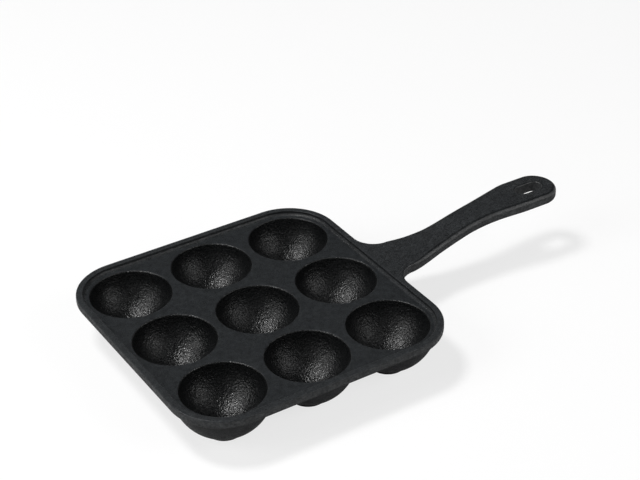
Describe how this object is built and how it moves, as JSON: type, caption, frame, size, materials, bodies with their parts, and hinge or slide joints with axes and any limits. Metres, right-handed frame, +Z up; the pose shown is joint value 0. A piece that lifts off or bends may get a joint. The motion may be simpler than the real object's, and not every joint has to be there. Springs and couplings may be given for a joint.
{
  "type": "aebleskiver pan",
  "caption": "Square cast iron pan with a grid of hemispherical cups for round pancakes, a low rim and a rising cast handle with a hanging slot.",
  "frame": {"origin": "centre of the centre cup's foot pad, on the surface that the pan stands on", "axes": "+X along the handle, from the tray towards the tip; +Z up; +Y across the pan, which is the same on both sides of the XZ plane"},
  "size_m": [0.3516, 0.2004, 0.0513],
  "materials": {
    "tray_iron": "seasoned black, fine sand-cast grain, semi-matt",
    "cup_iron": "seasoned black, fine sand-cast grain, semi-matt",
    "handle_iron": "seasoned black, fine sand-cast grain, semi-matt"
  },
  "bodies": {
    "root": {"deck": "tray_iron", "rim": "tray_iron", "handle": "handle_iron", "cup_far_left": "cup_iron", "cup_far_middle": "cup_iron", "cup_far_right": "cup_iron", "cup_middle_left": "cup_iron", "cup_centre": "cup_iron", "cup_middle_right": "cup_iron", "cup_near_left": "cup_iron", "cup_near_middle": "cup_iron", "cup_near_right": "cup_iron"}
  },
  "joints": []
}
